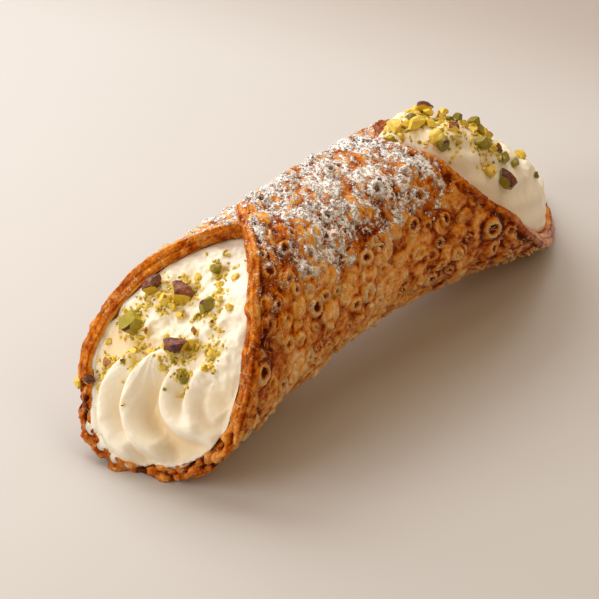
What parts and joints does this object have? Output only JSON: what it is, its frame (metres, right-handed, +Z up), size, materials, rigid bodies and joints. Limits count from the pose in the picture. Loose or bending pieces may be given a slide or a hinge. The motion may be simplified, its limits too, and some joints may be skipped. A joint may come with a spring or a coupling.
{
  "type": "cannoli",
  "caption": "Fried pastry tube wrapped from a round, lapped along the top, filled with piped ricotta cream that shows at both slanted ends, topped with chopped pistachios",
  "frame": {"origin": "under the middle of the cannoli's bounding box, on the surface it rests on", "axes": "+Z up, +X along the tube towards the mouth with the domed cream, +Y across the tube towards the side of the inner lap"},
  "size_m": [0.1248, 0.0388, 0.0433],
  "materials": {
    "fried_pastry": "blistered golden-brown fried pastry with a slight oily sheen",
    "ricotta": "soft ivory ricotta cream",
    "pistachio": "chopped green kernel with brown-purple skin"
  },
  "bodies": {
    "root": {"pastry_shell": "fried_pastry", "ricotta_cream": "ricotta", "pistachio_low_01": "pistachio", "pistachio_low_02": "pistachio", "pistachio_low_03": "pistachio", "pistachio_low_04": "pistachio", "pistachio_low_05": "pistachio", "pistachio_low_06": "pistachio", "pistachio_low_07": "pistachio", "pistachio_high_01": "pistachio", "pistachio_high_02": "pistachio", "pistachio_high_03": "pistachio", "pistachio_high_04": "pistachio", "pistachio_high_05": "pistachio", "pistachio_high_06": "pistachio", "pistachio_high_07": "pistachio", "pistachio_high_08": "pistachio"}
  },
  "joints": []
}
